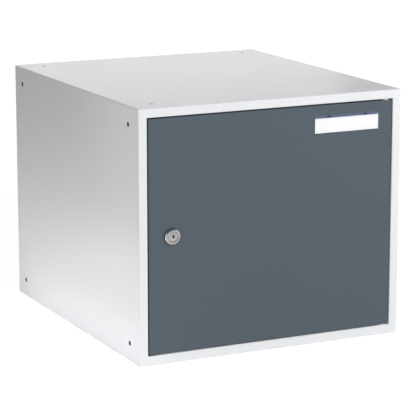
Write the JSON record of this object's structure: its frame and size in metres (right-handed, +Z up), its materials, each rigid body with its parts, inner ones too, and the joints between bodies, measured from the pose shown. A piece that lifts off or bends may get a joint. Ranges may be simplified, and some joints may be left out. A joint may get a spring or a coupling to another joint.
{
  "type": "cube locker",
  "caption": "Steel cube locker with an inset hinged door, a cam lock and a label holder, for standing alone or bolting into a stack.",
  "frame": {"origin": "centre of the underside of the base", "axes": "+X to the right as seen from the front, +Y from the door to the back, +Z up"},
  "size_m": [0.4, 0.4543, 0.35],
  "materials": {
    "casing_paint": "light-grey powder coat, fine texture, satin",
    "door_paint": "blue-grey powder coat, fine texture, satin",
    "hinge_steel": "bright steel, lightly oiled",
    "nylon": "white nylon",
    "rubber": "black rubber, matte",
    "clear_plastic": "clear moulded plastic",
    "card": "plain white card",
    "lock_chrome": "chrome plate, turned face",
    "zinc": "zinc plated",
    "tumbler_brass": "stamped brass"
  },
  "bodies": {
    "casing": {"casing_wrap": "casing_paint", "back_panel": "casing_paint", "strike_angle": "casing_paint", "upper_hinge_plate": "hinge_steel", "lower_hinge_plate": "hinge_steel", "upper_pin": "hinge_steel", "lower_pin": "hinge_steel", "upper_washer": "nylon", "lower_washer": "nylon", "upper_stop_buffer": "rubber", "lower_stop_buffer": "rubber", "sill_buffer": "rubber"},
    "door": {"door_pan": "door_paint", "door_stiffener": "door_paint", "upper_pivot_bracket": "hinge_steel", "lower_pivot_bracket": "hinge_steel", "label_cover": "clear_plastic", "label_card": "card", "lock_housing": "lock_chrome", "lock_nut": "zinc"},
    "lock": {"lock_cylinder": "lock_chrome", "lock_cam": "zinc", "cam_washer": "zinc", "cam_screw": "zinc", "tumbler_1": "tumbler_brass", "tumbler_2": "tumbler_brass", "tumbler_3": "tumbler_brass", "tumbler_4": "tumbler_brass", "tumbler_5": "tumbler_brass"}
  },
  "joints": [
    {"name": "door_hinge", "type": "hinge", "parent": "casing", "child": "door", "pos_m": [0.177, -0.2195, 0.175], "axis": [0, 0, 1], "range_deg": [0, 115]},
    {"name": "lock_turn", "type": "hinge", "parent": "door", "child": "lock", "pos_m": [-0.1513, -0.2293, 0.175], "axis": [0, 1, 0], "range_deg": [0, 90]}
  ]
}
